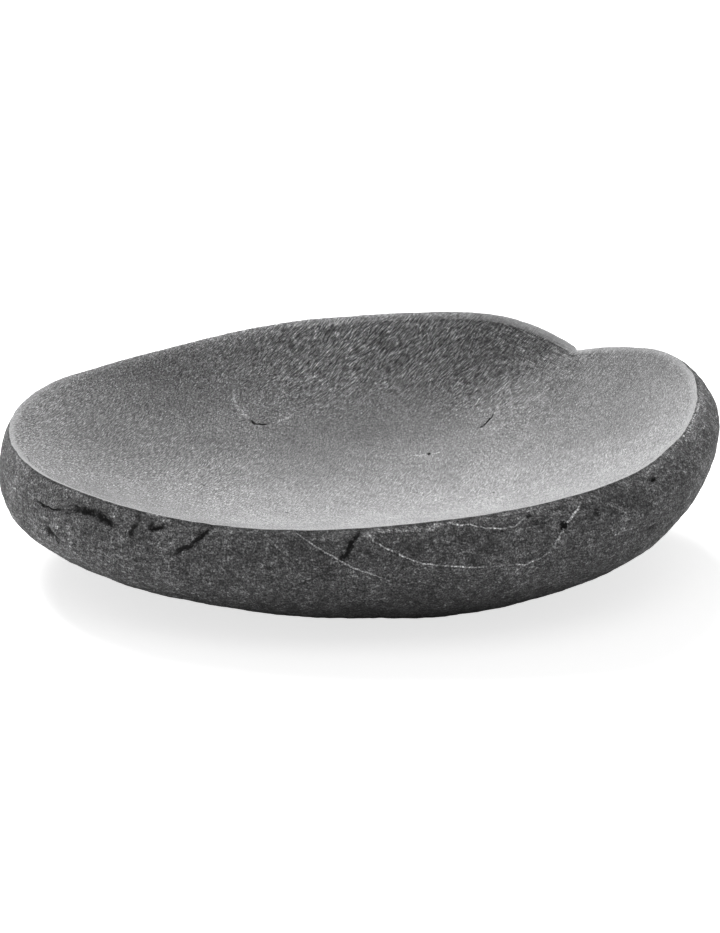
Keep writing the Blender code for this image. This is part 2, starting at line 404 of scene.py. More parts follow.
    def girth_height(self, bearing: np.ndarray) -> np.ndarray:
        """Height of the widest line: lower on the left, higher on the right.

        Args:
            bearing: The bearing of each column, in degrees.

        Returns:
            The height at each bearing, above the ground base.
        """
        drop = (-self.girth_left_drop, self.girth_left_bearing, self.girth_spread)
        lift = (self.girth_right_lift, self.girth_right_bearing, self.girth_spread)
        return self.rim_height(bearing) * (self.girth_share + swells(bearing, drop, lift))

    def base_edge(self, bearing: np.ndarray) -> np.ndarray:
        """The edge of the ground base."""
        size = np.array((self.base_width, self.base_depth))
        return np.array(self.base_offset) + outwards(bearing, np.full_like(bearing, 0.5)) * size

    def base_point(self, bearing: np.ndarray, share: float) -> np.ndarray:
        """The ground base from its middle (share 0) to its edge (share 1).

        Args:
            bearing: The bearing of each column, in degrees.
            share: How far up this stretch of the skin, 0 to 1.

        Returns:
            A point for each bearing, in metres.
        """
        middle = np.array(self.base_offset)
        plan = middle + (self.base_edge(bearing) - middle) * share
        return np.column_stack([plan, np.zeros_like(bearing)])

    def underside_point(self, bearing: np.ndarray, share: float) -> np.ndarray:
        """The crust from the edge of the base (share 0) to the girth (share 1).

        Args:
            bearing: The bearing of each column, in degrees.
            share: How far up this stretch of the skin, 0 to 1.

        Returns:
            A point for each bearing, in metres.
        """
        angle = share * math.pi / 2
        slimming = 1 + self.underside_swing * np.cos(np.radians(bearing - self.slimmest_bearing))
        spread = math.sin(angle) ** (self.underside_spread * slimming)
        rise = 1 - max(math.cos(angle), 0.0) ** (self.underside_rise * slimming)
        edge = self.base_edge(bearing)
        plan = edge + (self.girth(bearing) - edge) * spread[:, None]
        return np.column_stack([plan, self.girth_height(bearing) * rise])

    def shoulder_point(self, bearing: np.ndarray, share: float) -> np.ndarray:
        """The crust from the girth (share 0) up and over to the outer edge of the rim (share 1).

        Args:
            bearing: The bearing of each column, in degrees.
            share: How far up this stretch of the skin, 0 to 1.

        Returns:
            A point for each bearing, in metres.
        """
        roll = math.radians(self.shoulder_roll)
        inward = (1 - math.cos(roll * share)) / (1 - math.cos(roll))
        upward = math.sin(roll * share) / math.sin(roll)
        low, high = self.girth_height(bearing), self.rim_height(bearing)
        girth = self.girth(bearing)
        plan = girth + (self.rim(bearing) - girth) * inward
        return np.column_stack([plan, low + (high - low) * upward])

    def hollow_point(self, bearing: np.ndarray, share: float) -> np.ndarray:
        """The hollow from its deepest point (share 0) to the inner edge of the land (share 1).

        Args:
            bearing: The bearing of each column, in degrees.
            share: How far up this stretch of the skin, 0 to 1.

        Returns:
            A point for each bearing, in metres.
        """
        middle = np.array(self.hollow_offset)
        across = self.rim(bearing) - middle
        reach = np.linalg.norm(across, axis=1, keepdims=True)
        plan = middle + across * (1 - self.land / reach) * share
        swing = np.cos(np.radians(bearing - self.steepest_bearing))
        steepness = self.wall_steepness + self.wall_steepness_swing * swing
        rise = (1 - steepness) * share**2 + steepness * share**4
        top = self.faded_rim_height(bearing, share) - self.land_drop
        return np.column_stack([plan, self.floor + (top - self.floor) * rise])

    def land_point(self, bearing: np.ndarray, share: float, below: float) -> np.ndarray:
        """The ground edge, rolling from the rim's outer edge (share 0) over into the wall (share 1).

        Args:
            bearing: The bearing of each column, in degrees.
            share: How far up this stretch of the skin, 0 to 1.
            below: The share of the hollow where the roll ends.

        Returns:
            A point for each bearing, in metres.
        """
        edge = self.shoulder_point(bearing, 1.0)
        corner = self.hollow_point(bearing, 1.0)
        wall = self.hollow_point(bearing, below)
        return (1 - share) ** 2 * edge + 2 * share * (1 - share) * corner + share**2 * wall


@dataclass
class Skin:
    """The stone's skin as a grid: rows from the base's middle to the hollow's, columns round the stone."""

    form: StoneForm
    columns: int = 560
    base_rows: int = 4
    underside_rows: int = 58
    shoulder_rows: int = 22
    land_rows: int = 9
    hollow_rows: int = 82
    below_land: float = 0.960
    crowding: float = 0.42
    softest: float = 8.0
    soft_by: float = 0.6

    def __post_init__(self) -> None:
        """Work out every row's points, the zone each row belongs to, and the bearing of each column."""
        self.bearing = self.form.bearings(self.columns)
        rows, zones = [], []
        form = self.form
        down = np.linspace(1.0, 0.0, self.hollow_rows + 1)[1:-1]
        for zone, point_of, shares in (
            (Zone.BASE, form.base_point, np.linspace(0.0, 1.0, self.base_rows, endpoint=False)[1:]),
            (Zone.UNDERSIDE, form.underside_point, np.linspace(0.0, 1.0, self.underside_rows)),
            (Zone.SHOULDER, form.shoulder_point, np.linspace(0.0, 1.0, self.shoulder_rows + 1)[1:]),
            (Zone.LAND, self.land_point, np.linspace(0.0, 1.0, self.land_rows + 1)[1:]),
            (Zone.HOLLOW, form.hollow_point, self.below_land * down * (1 + self.crowding * (1 - down))),
        ):
            rows += [point_of(self.bearing, share) for share in shares]
            zones += [zone] * len(shares)
        self.points = np.stack(rows)
        self.points[..., 2] += self.form.bottom
        self.soften_hollow(np.array(zones))
        self.zone = np.array([zone.value for zone in zones])
        self.rim_row = int(np.argmax(self.zone == Zone.LAND.value)) - 1
        self.base_edge_row = int(np.argmax(self.zone == Zone.UNDERSIDE.value))
        step = np.linalg.norm(np.diff(self.points, axis=0), axis=2)
        run = np.concatenate([np.zeros((1, self.columns)), np.cumsum(step, axis=0)])
        self.from_rim = run - run[self.rim_row]
        self.from_base = run - run[self.base_edge_row]

    def land_point(self, bearing: np.ndarray, share: float) -> np.ndarray:
        """The ground edge, from the rim's outer edge (share 0) down to the hollow's first row (share 1)."""
        return self.form.land_point(bearing, share, self.below_land)

    def soften_hollow(self, zones: np.ndarray) -> None:
        """Let the cleft's step die away down the wall, by averaging the hollow's rows round the stone.

        Args:
            zones: The zone of each row.
        """
        turns = np.fft.rfftfreq(self.columns)
        rows = np.flatnonzero(zones == Zone.HOLLOW)
        for row in rows:
            down = (row - rows[0]) / self.hollow_rows
            spread = self.columns / 360.0 * self.softest * min(1.0, down / self.soft_by)
            keep = np.exp(-2 * (math.pi * turns * spread) ** 2)[:, None]
            waves = np.fft.rfft(self.points[row], axis=0) * keep
            self.points[row] = np.fft.irfft(waves, self.columns, axis=0)

    def normals(self) -> np.ndarray:
        """The skin's outward direction at each grid point.

        Returns:
            A unit direction for each grid point.
        """
        across = np.roll(self.points, -1, axis=1) - np.roll(self.points, 1, axis=1)
        along = np.gradient(self.points, axis=0)
        normal = np.cross(across, along)
        return normal / np.maximum(np.linalg.norm(normal, axis=2, keepdims=True), TINY)

    def locate(self, mark: Mark) -> np.ndarray:
        """The places on the skin of a mark's points, in metres.

        Args:
            mark: The mark to find.

        Returns:
            One place for each of the mark's points.
        """
        places = []
        for first, second in mark.points:
            if mark.side is Side.CRUST:
                column = int(np.argmin(np.abs((self.bearing - first + 180) % 360 - 180)))
                height = self.points[self.base_edge_row : self.rim_row + 1, column, 2]
                row = self.base_edge_row + int(np.argmin(np.abs(height - second * MM)))
                places.append(self.points[row, column])
            else:
                inside = self.points[self.rim_row :]
                gap = np.hypot(inside[..., 0] - first * MM, inside[..., 1] - second * MM)
                row, column = np.unravel_index(int(np.argmin(gap)), gap.shape)
                places.append(inside[row, column])
        return np.array(places)


def offset_from(
    places: np.ndarray, points: np.ndarray, normals: np.ndarray
) -> tuple[np.ndarray, np.ndarray]:
    """How far each point lies from a line of places, and on which side.

    Args:
        places: The line's places in order, or one place.
        points: The points to measure.
        normals: The skin's outward direction at each point, which tells the line's two sides apart.

    Returns:
        The offset of each point, below zero on the line's right, and its share of the way along.
    """
    if len(places) == 1:
        return np.linalg.norm(points - places[0], axis=-1), np.full(points.shape[:-1], 0.5)
    best = np.full(points.shape[:-1], np.inf)
    signed = np.zeros(points.shape[:-1])
    along = np.zeros(points.shape[:-1])
    count = len(places) - 1
    for index in range(count):
        start, run = places[index], places[index + 1] - places[index]
        share = np.clip(((points - start) @ run) / (run @ run), 0.0, 1.0)
        away = points - start - share[..., None] * run
        gap = np.linalg.norm(away, axis=-1)
        left = np.sum(np.cross(run, points - start) * normals, axis=-1) >= 0
        closer = gap < best
        best = np.where(closer, gap, best)
        signed = np.where(closer, np.where(left, gap, -gap), signed)
        along = np.where(closer, (index + share) / count, along)
    return signed, along


@dataclass
class StoneDish:
    """The stone itself: its mesh, natural relief, marks, and the masks that its finishes read.

    A swell is a height, a bearing and a spread. A wear-and-shade patch is a plan place and a size across and
    along, in millimetres, and how many times it doubles the hollow's brightness: painted shade on the walls
    and painted light in two places, partly the stone's own patchy colour.
    """

    skin: Skin
    crust_relief: tuple[Relief, ...] = (
        Relief(0.00055, (28, 28, 40), 2, 3.1),
        Relief(0.00034, (95, 95, 150), 2, 11.7),
        Relief(0.00016, (330, 330, 480), 2, 23.9),
    )
    hollow_relief: tuple[Relief, ...] = (
        Relief(0.00016, (38, 38, 38), 2, 41.3),
        Relief(0.00006, (150, 260, 220), 2, 57.7),
    )
    rim_sideways: tuple[Relief, ...] = (
        Relief(0.00035, (70, 70, 70), 3, 71.9),
        Relief(0.00022, (260, 260, 260), 2, 97.1),
    )
    rim_upwards: Relief = Relief(0.000175, (55, 55, 55), 3, 83.3)
    rim_softness: float = 0.006
    crust_below_rim: tuple[float, float] = (0.0002, 0.0035)
    crust_above_base: tuple[float, float] = (-0.001, 0.006)
    hollow_below_rim: tuple[float, float] = (0.001, 0.006)
    mark_reach: float = 0.0030
    mark_fade: float = 0.6
    mark_blunt: float = 0.25
    far_offset: float = 8.0
    steep_from: tuple[float, float] = (0.040, 0.078)
    wall_swells: tuple[Triple, ...] = ((1.0, 90.0, 55.0), (0.2, 50.0, 15.0))
    side_swells: tuple[Triple, ...] = ((1.0, 158.0, 34.0), (0.5, 205.0, 35.0))
    comb_swell: Triple = (1.0, 47.0, 13.0)
    comb_down: tuple[float, float] = (0.032, 0.010)
    # Bearings where the rim's band and the high wall's lip get painted highlights, and the lip a painted
    # shadow below it.
    band_swells: tuple[Triple, ...] = ((1.0, 205.0, 50.0), (0.8, 355.0, 45.0), (1.0, 272.0, 35.0))
    lip_swells: tuple[Triple, ...] = ((0.7, 82.0, 34.0), (1.2, 46.0, 14.0))
    lip_most: float = 1.2
    bruise_swell: Triple = (1.0, 350.0, 9.0)
    bruise_width: float = 0.0018
    crust_swells: tuple[Triple, ...] = (
        (0.72, 205.0, 24.0),
        (0.80, 349.0, 24.0),
        (0.25, 235.0, 14.0),
        (0.28, 303.0, 16.0),
    )
    # Painted shade: the crust darker towards the bottom, by these doublings between these heights in
    # millimetres.
    painted_bottom_shade: float = -1.5
    painted_bottom_shade_heights: tuple[float, float] = (30.0, 4.0)
    # Painted light: the front and right of the hollow, which face the key light, lighter by this many
    # doublings.
    painted_front_light: float = 0.50
    painted_front_light_forwards: tuple[float, float] = (35.0, -55.0)
    painted_front_light_rightwards: tuple[float, float] = (-120.0, 10.0)
    # Painted shade on the hollow's back and left walls and painted light in two places, partly the stone's
    # own patchy colour.
    wear_and_shade_patches: tuple[tuple[float, float, float, float, float], ...] = (
        (-100.0, 30.0, 40.0, 38.0, -0.72),
        (-30.0, 44.0, 46.0, 26.0, -0.64),
        (0.0, 54.0, 26.0, 12.0, -0.30),
        (58.0, 77.0, 42.0, 12.0, -0.42),
        (104.0, 24.0, 26.0, 24.0, -0.32),
        (-82.0, 64.0, 26.0, 14.0, -0.30),
        (-30.0, 86.0, 60.0, 9.0, 0.12),
        (52.0, 2.0, 40.0, 34.0, 0.18),
    )

    def shape(self) -> None:
        """Give the smooth skin its natural and tooled relief, then sink the marks into it."""
        skin = self.skin
        normal = skin.normals()
        self.wander_rim()
        crust = smooth_step(*self.crust_below_rim, -skin.from_rim)
        crust = crust * smooth_step(*self.crust_above_base, skin.from_base)
        hollow = smooth_step(*self.hollow_below_rim, skin.from_rim)
        points = skin.points
        lift = crust * sum(layer.lift(points) for layer in self.crust_relief)
        lift = lift + hollow * sum(layer.lift(points) for layer in self.hollow_relief)
        skin.points = points + normal * lift[..., None]
        self.offset, self.strength = {}, {}
        for tone in Tone:
            self.offset[tone] = np.full(points.shape[:2], self.far_offset)
            self.strength[tone] = np.zeros(points.shape[:2])
        for mark in CRUST_MARKS + HOLLOW_MARKS:
            self.cut(mark, normal)

    def wander_rim(self) -> None:
        """Let the rim's edge wander a little, as a hand-ground one does."""
        skin = self.skin
        edge = skin.points[skin.rim_row]
        near = np.exp(-((skin.from_rim / self.rim_softness) ** 2))[..., None]
        sideways = outwards(skin.bearing, sum(layer.lift(edge) for layer in self.rim_sideways))
        skin.points = skin.points + np.column_stack([sideways, self.rim_upwards.lift(edge)])[None] * near

    def cut(self, mark: Mark, normal: np.ndarray) -> None:
        """Sink one mark into the skin, and note its offset and strength for the finishes.

        Args:
            mark: The mark.
            normal: The skin's outward direction at each point.
        """
        skin = self.skin
        places = skin.locate(mark)
        rows = np.arange(len(skin.points))
        own = rows <= skin.rim_row if mark.side is Side.CRUST else rows > skin.rim_row
        signed, along = offset_from(places, skin.points, normal)
        from_end = np.minimum(along, 1 - along)
        taper = 1.0 if len(places) == 1 else np.clip(4 * from_end + self.mark_blunt, 0, 1)
        near = (np.abs(signed) < self.mark_reach) & own[:, None]
        profile = np.exp(-((signed / (mark.width * MM)) ** 2))
        sink = np.where(near, mark.depth * MM * profile * taper, 0.0)
        skin.points = skin.points - normal * sink[..., None]
        scaled = np.clip(signed / (mark.width * MM), -self.far_offset, self.far_offset)
        closer = near & (np.abs(scaled) < np.abs(self.offset[mark.tone]))
        fade = smooth_step(self.mark_reach, self.mark_reach * self.mark_fade, np.abs(signed))
        strength = mark.strength * taper * fade
        self.offset[mark.tone] = np.where(closer, scaled, self.offset[mark.tone])
        self.strength[mark.tone] = np.where(closer, strength, self.strength[mark.tone])

    def masks(self) -> dict[str, np.ndarray]:
        """Values over the skin that the finishes read, by attribute name.

        Returns:
            One number for each grid point, by name.
        """
        skin = self.skin
        bearing = np.broadcast_to(skin.bearing, skin.from_rim.shape)
        middle_x, middle_y = skin.form.hollow_offset
        reach = np.hypot(skin.points[..., 0] - middle_x, skin.points[..., 1] - middle_y)
        steep = smooth_step(*self.steep_from, reach)
        rim_line = np.exp(-((skin.from_rim / self.bruise_width) ** 2))
        return {
            "from_rim": skin.from_rim / MM,
            "wall": steep * np.clip(swells(bearing, *self.wall_swells), 0.0, 1.0),
            "side": steep * np.clip(swells(bearing, *self.side_swells), 0.0, 1.0),
            "comb": smooth_step(*self.comb_down, skin.from_rim) * swells(bearing, self.comb_swell),
            # Masks for the painted highlights on the band and the lip, and for the painted shadow under the
            # lip.
            "band": np.clip(swells(bearing, *self.band_swells), 0.0, 1.0),
            "lip": np.clip(swells(bearing, *self.lip_swells), 0.0, self.lip_most),
            "bruise": rim_line * swells(bearing, self.bruise_swell),
            # The broad tone: painted light and painted shade in the hollow, painted shade low on the crust.
            "tone": self.tone(bearing),
            "vein_offset": self.offset[Tone.PALE],
            "vein_strength": self.strength[Tone.PALE],
            "crack_offset": self.offset[Tone.DARK],
            "crack_strength": self.strength[Tone.DARK],
        }

    def tone(self, bearing: np.ndarray) -> np.ndarray:
        """Broad changes of the stone's colour, in doublings: painted light and painted shade in the hollow,
        partly its own patchy colour, lighter ends of the crust, and painted shade darkening the crust towards
        the bottom.

        Args:
            bearing: The bearing of each grid point.

        Returns:
            How many times the stone's colour is doubled at each grid point.
        """
        x, y, z = np.moveaxis(self.skin.points / MM, 2, 0)
        # Painted light over the front and right of the hollow.
        hollow = self.painted_front_light * smooth_step(*self.painted_front_light_forwards, y) * smooth_step(*self.painted_front_light_rightwards, x)
        # Painted shade on the walls and painted light in two places, partly the stone's own patchy colour.
        for x_at, y_at, across, along, stops in self.wear_and_shade_patches:
            hollow = hollow + stops * np.exp(-(((x - x_at) / across) ** 2) - ((y - y_at) / along) ** 2)
        # Painted shade darkens the crust towards the bottom; the crust swells make its two ends lighter.
        crust = swells(bearing, *self.crust_swells) + self.painted_bottom_shade * smooth_step(*self.painted_bottom_shade_heights, z)
        return np.where((self.skin.zone >= Zone.LAND.value)[:, None], hollow, crust)

    def build(self, finishes: list[bpy.types.Material]) -> bpy.types.Object:
        """Draw a sphere's rings and columns out into the stone's skin.

        Args:
            finishes: The ground base's, the crust's and the hollow's materials.

        Returns:
            The stone, with its masks as attributes and each zone in its own finish.
        """
        self.shape()
        skin = self.skin
        rings = len(skin.points) + 1
        bm = bmesh.new()
        bmesh.ops.create_uvsphere(bm, u_segments=skin.columns, v_segments=rings, radius=1.0)
        where = np.array([vert.co for vert in bm.verts])
        ring = np.rint((np.arcsin(np.clip(where[:, 2], -1, 1)) / math.pi + 0.5) * rings).astype(int)
        column = np.rint(np.arctan2(where[:, 1], where[:, 0]) / math.tau * skin.columns).astype(int)
        column %= skin.columns
        row = np.clip(ring - 1, 0, len(skin.points) - 1)
        placed = skin.points[row, column]
        placed[ring == 0] = (*skin.form.base_offset, skin.form.bottom)
        placed[ring == rings] = skin.points[-1].mean(axis=0)
        for vert, place in zip(bm.verts, placed):
            vert.co = place
        bmesh.ops.recalc_face_normals(bm, faces=bm.faces)
        last_row = [max(row[vert.index] for vert in face.verts) for face in bm.faces]
        for face, highest in zip(bm.faces, last_row):
            face.smooth = True
            face.material_index = self.finish_of(highest)
        stone = new_object("carved_stone", bm, finishes)
        for name, values in self.masks().items():
            attribute = stone.data.attributes.new(name, "FLOAT", "POINT")
            attribute.data.foreach_set("value", values[row, column].astype(np.float32))
        return stone

    def finish_of(self, row: int) -> int:
        """The place in the list of finishes of the faces that end at a row.

        Args:
            row: The highest row that a face touches.

        Returns:
            The place in the list.
        """
        if row <= self.skin.base_edge_row:
            return 0
        return 1 if row <= self.skin.rim_row else 2


def new_object(name: str, bm: bmesh.types.BMesh, finishes: list[bpy.types.Material]) -> bpy.types.Object:
    """An object in the scene from a finished bmesh, which is freed, with its materials in order.

    Args:
        name: The object's and the mesh's name.
        bm: The finished bmesh.
        finishes: Its materials.

    Returns:
        The new object.
    """
    mesh = bpy.data.meshes.new(name)
    bm.to_mesh(mesh)
    bm.free()
    for finish in finishes:
        mesh.materials.append(finish)
    made = bpy.data.objects.new(name, mesh)
    bpy.context.scene.collection.objects.link(made)
    return made


class Nodes:
    """A node tree under construction."""

    def __init__(self, tree: bpy.types.NodeTree) -> None:
        """Keep the tree that the nodes go into."""
        self.tree = tree

    def add(self, kind: str, **settings: object) -> bpy.types.Node:
        """A new node of a kind, with its plain settings.

        Args:
            kind: Blender's name for the kind of node.
            settings: Its plain settings.

        Returns:
            The node.
        """
        node = self.tree.nodes.new(kind)
        for name, value in settings.items():
            setattr(node, name, value)
        return node

    def put(self, socket: bpy.types.NodeSocket, value: object) -> None:
        """Give an input a constant, or link another node's output to it.

        Args:
            socket: The input.
            value: A constant, or another node's output.
        """
        if isinstance(value, bpy.types.NodeSocket):
            self.tree.links.new(value, socket)
        else:
            socket.default_value = value

    def math(self, operation: str, *values: object) -> bpy.types.NodeSocket:
        """The result of one sum, product or other step.

        Args:
            operation: The step's name.
            values: Its inputs in order.

        Returns:
            Its result.
        """
        node = self.add("ShaderNodeMath", operation=operation)
        for index, value in enumerate(values):
            self.put(node.inputs[index], value)
        return node.outputs[0]

    def held(self, value: object) -> bpy.types.NodeSocket:
        """A value held between -1 and 1."""
        return self.math("MAXIMUM", self.math("MINIMUM", value, 1.0), -1.0)

    def span(
        self, value: object, low: float, high: float, out_low: float = 0.0, out_high: float = 1.0
    ) -> bpy.types.NodeSocket:
        """A value taken smoothly from one range to another, and held at its ends.

        Args:
            value: The value to take across.
            low: Where the first range starts.
            high: Where it ends.
            out_low: What it gives at low.
            out_high: What it gives at high.

        Returns:
            The new value.
        """
        node = self.add("ShaderNodeMapRange", interpolation_type="SMOOTHSTEP")
        self.put(node.inputs["Value"], value)
        node.inputs["From Min"].default_value = low
        node.inputs["From Max"].default_value = high
        node.inputs["To Min"].default_value = out_low
        node.inputs["To Max"].default_value = out_high
        return node.outputs["Result"]

    def noise(
        self, vector: object, scale: object, detail: float, roughness: float = 0.5
    ) -> bpy.types.NodeSocket:
        """A noise texture's value, 0 to 1.

        Args:
            vector: The point.
            scale: Noise cells in a metre.
            detail: How many finer layers it adds.
            roughness: How strong they are.

        Returns:
            The value.
        """
        node = self.add("ShaderNodeTexNoise", noise_dimensions="3D")
        self.put(node.inputs["Vector"], vector)
        self.put(node.inputs["Scale"], scale)
        node.inputs["Detail"].default_value = detail
        node.inputs["Roughness"].default_value = roughness
        return node.outputs["Fac"]

    def attribute(self, name: str) -> bpy.types.NodeSocket:
        """One of the skin's masks."""
        return self.add("ShaderNodeAttribute", attribute_name=name).outputs["Fac"]

    def use(self, group: bpy.types.NodeTree, **inputs: object) -> bpy.types.Node:
        """A node group placed in this tree, with its own values.

        Args:
            group: The group.
            inputs: A constant or an output for each named input.

        Returns:
            The node that stands for the group.
        """
        node = self.add("ShaderNodeGroup", node_tree=group)
        for name, value in inputs.items():
            self.put(node.inputs[name], value)
        return node

    def value(self, group: bpy.types.NodeTree, **inputs: object) -> bpy.types.NodeSocket:
        """The first output of a node group placed in this tree, with its own values."""
        return self.use(group, **inputs).outputs[0]

    def marks(self, line: bpy.types.NodeTree, place: bpy.types.NodeSocket) -> tuple[object, object]:
        """The masks of the skin's open cracks, which are ragged, and of its pale veins.

        Args:
            line: The group that draws a line.
            place: The point on the object.

        Returns:
            The mask of the cracks and the mask of the veins.
        """
        crack_offset, crack_strength = self.attribute("crack_offset"), self.attribute("crack_strength")
        vein_offset, vein_strength = self.attribute("vein_offset"), self.attribute("vein_strength")
        return (
            self.value(line, Vector=place, Offset=crack_offset, Strength=crack_strength, Ragged=0.9),
            self.value(line, Vector=place, Offset=vein_offset, Strength=vein_strength),
        )


def new_group(
    name: str, inputs: dict[str, tuple[str, object]], outputs: tuple[str, ...]
) -> tuple[bpy.types.NodeTree, Nodes, bpy.types.Node, bpy.types.Node]:
    """An empty shader node group.

    Args:
        name: The group's name.
        inputs: Each input's socket type and default value, by name.
        outputs: The names of its number outputs.

    Returns:
        The group, its builder, its input node and its output node.
    """
    group = bpy.data.node_groups.new(name, "ShaderNodeTree")
    for title, (kind, value) in inputs.items():
        socket = group.interface.new_socket(name=title, in_out="INPUT", socket_type=kind)
        if value is not None:
            socket.default_value = value
    for title in outputs:
        group.interface.new_socket(name=title, in_out="OUTPUT", socket_type="NodeSocketFloat")
    nodes = Nodes(group)
    return group, nodes, nodes.add("NodeGroupInput"), nodes.add("NodeGroupOutput")


class Effects:
    """The patterns that more than one finish uses, as shader node groups built once."""

    def __init__(self) -> None:
        """Build every group."""
        self.strokes = self.build_strokes()
        self.speckle = self.build_speckle()
        self.line = self.build_line()
        self.clouds = self.build_clouds()

    def build_strokes(self) -> bpy.types.NodeTree:
        """Short strokes in one direction: noise drawn out along it, -1 to 1.

        Returns:
            The group.
        """
        group, nodes, given, out = new_group(
            "Strokes",
            {
                "Vector": ("NodeSocketVector", None),
                "Turn": ("NodeSocketVector", (0.0, 0.0, 0.0)),
                "Density": ("NodeSocketVector", (200.0, 800.0, 800.0)),
                "Contrast": ("NodeSocketFloat", 4.0),
            },
            ("Value",),
        )
        bend = nodes.add("ShaderNodeTexNoise", noise_dimensions="3D")
        nodes.put(bend.inputs["Vector"], given.outputs["Vector"])
        bend.inputs["Scale"].default_value = 60.0
        bend.inputs["Detail"].default_value = 1.0
        shifted = nodes.add("ShaderNodeVectorMath", operation="MULTIPLY_ADD")
        nodes.put(shifted.inputs[0], bend.outputs["Color"])
        shifted.inputs[1].default_value = (0.003, 0.003, 0.003)
        nodes.put(shifted.inputs[2], given.outputs["Vector"])
        turned = nodes.add("ShaderNodeMapping")
        nodes.put(turned.inputs["Vector"], shifted.outputs[0])
        nodes.put(turned.inputs["Rotation"], given.outputs["Turn"])
        drawn = nodes.add("ShaderNodeVectorMath", operation="MULTIPLY")
        nodes.put(drawn.inputs[0], turned.outputs[0])
        nodes.put(drawn.inputs[1], given.outputs["Density"])
        value = nodes.noise(drawn.outputs[0], 1.0, 3.0, 0.6)
        centred = nodes.math("SUBTRACT", value, 0.5)
        strong = nodes.math("MULTIPLY", centred, given.outputs["Contrast"])
        nodes.put(out.inputs["Value"], nodes.held(strong))
        return group

    def build_speckle(self) -> bpy.types.NodeTree:
        """The crystals of the stone: fine grains, with a few light and dark ones, -1 to 1.

        Returns:
            The group.
        """
        group, nodes, given, out = new_group(
            "Speckle",
            {"Vector": ("NodeSocketVector", None), "Scale": ("NodeSocketFloat", 1400.0)},
            ("Value", "Sparks"),
        )
        vector, scale = given.outputs["Vector"], given.outputs["Scale"]
        fine = nodes.noise(vector, scale, 2.0, 0.65)
        centred = nodes.math("MULTIPLY", nodes.math("SUBTRACT", fine, 0.5), 4.5)
        nodes.put(out.inputs["Value"], nodes.held(centred))
        grains = nodes.noise(vector, nodes.math("MULTIPLY", scale, 0.6), 0.0)
        nodes.put(out.inputs["Sparks"], nodes.span(grains, 0.66, 0.78, 0.0, 1.0))
        return group

    def build_line(self) -> bpy.types.NodeTree:
        """A ragged line where the offset is near 0, as strong as its strength.

        Returns:
            The group.
        """
        group, nodes, given, out = new_group(
            "RaggedLine",
            {
                "Vector": ("NodeSocketVector", None),
                "Offset": ("NodeSocketFloat", 3.0),
                "Strength": ("NodeSocketFloat", 0.0),
                "Ragged": ("NodeSocketFloat", 0.6),
            },
            ("Mask",),
        )
        vector = given.outputs["Vector"]
        shake = nodes.math("SUBTRACT", nodes.noise(vector, 420.0, 3.0, 0.6), 0.5)
        shake = nodes.math("MULTIPLY", shake, 4.0)
        moved = nodes.math("MULTIPLY_ADD", shake, given.outputs["Ragged"], given.outputs["Offset"])
        near = nodes.span(nodes.math("ABSOLUTE", moved), 0.55, 1.15, 1.0, 0.0)
        broken = nodes.span(nodes.noise(vector, 260.0, 2.0), 0.34, 0.48, 0.55, 1.0)
        line = nodes.math("MULTIPLY", near, broken)
        nodes.put(out.inputs["Mask"], nodes.math("MULTIPLY", line, given.outputs["Strength"]))
        return group

    def build_clouds(self) -> bpy.types.NodeTree:
        """Broad soft patches, -1 to 1.

        Returns:
            The group.
        """
        group, nodes, given, out = new_group(
            "Clouds",
            {"Vector": ("NodeSocketVector", None), "Scale": ("NodeSocketFloat", 30.0)},
            ("Value",),
        )
        value = nodes.noise(given.outputs["Vector"], given.outputs["Scale"], 4.0, 0.6)
        centred = nodes.math("MULTIPLY", nodes.math("SUBTRACT", value, 0.5), 3.6)
        nodes.put(out.inputs["Value"], nodes.held(centred))
        return group


def new_material(name: str) -> tuple[bpy.types.Material, Nodes, bpy.types.Node]:
    """An empty material, its builder and its Principled shader, which is already linked to the output.

    Args:
        name: The material's name.

    Returns:
        The material, its builder and its shader.
    """
    material = bpy.data.materials.new(name)
    material.use_nodes = True
    nodes = Nodes(material.node_tree)
    return material, nodes, material.node_tree.nodes["Principled BSDF"]


def shade(nodes: Nodes, colour: Triple, stops: object, dimming: object) -> bpy.types.NodeSocket:
    """A colour made lighter or darker by values that change over the surface.

    Args:
        nodes: The tree that it goes into.
        colour: The plain colour.
        stops: How many times the colour is doubled, below zero where it is halved.
        dimming: A last factor, such as the dark of a crack.

    Returns:
        The changed colour.
    """
    node = nodes.add("ShaderNodeVectorMath", operation="SCALE")
    node.inputs[0].default_value = colour
    nodes.put(node.inputs["Scale"], nodes.math("MULTIPLY", nodes.math("POWER", 2.0, stops), dimming))
    return node.outputs[0]


def turn_along(direction: Triple) -> Triple:
    """The rotation that brings a direction onto X, for strokes that run along it."""
    return tuple(Vector(direction).rotation_difference(Vector((1.0, 0.0, 0.0))).to_euler())


def weigh(nodes: Nodes, start: object, *terms: tuple[object, object]) -> bpy.types.NodeSocket:
    """A start value plus each term times its weight.

    Args:
        nodes: The tree that it goes into.
        start: The start value.
        terms: Each term and its weight.

    Returns:
        The sum.
    """
    total = start
    for value, weight in terms:
        total = nodes.math("MULTIPLY_ADD", value, weight, total)
    return total


@dataclass(frozen=True)
class Pattern:
    """What changes over a finish's surface: doublings of its colour, height, roughness and dimming."""

    stops: bpy.types.NodeSocket
    height: bpy.types.NodeSocket
    rougher: bpy.types.NodeSocket
    dimming: object = 1.0


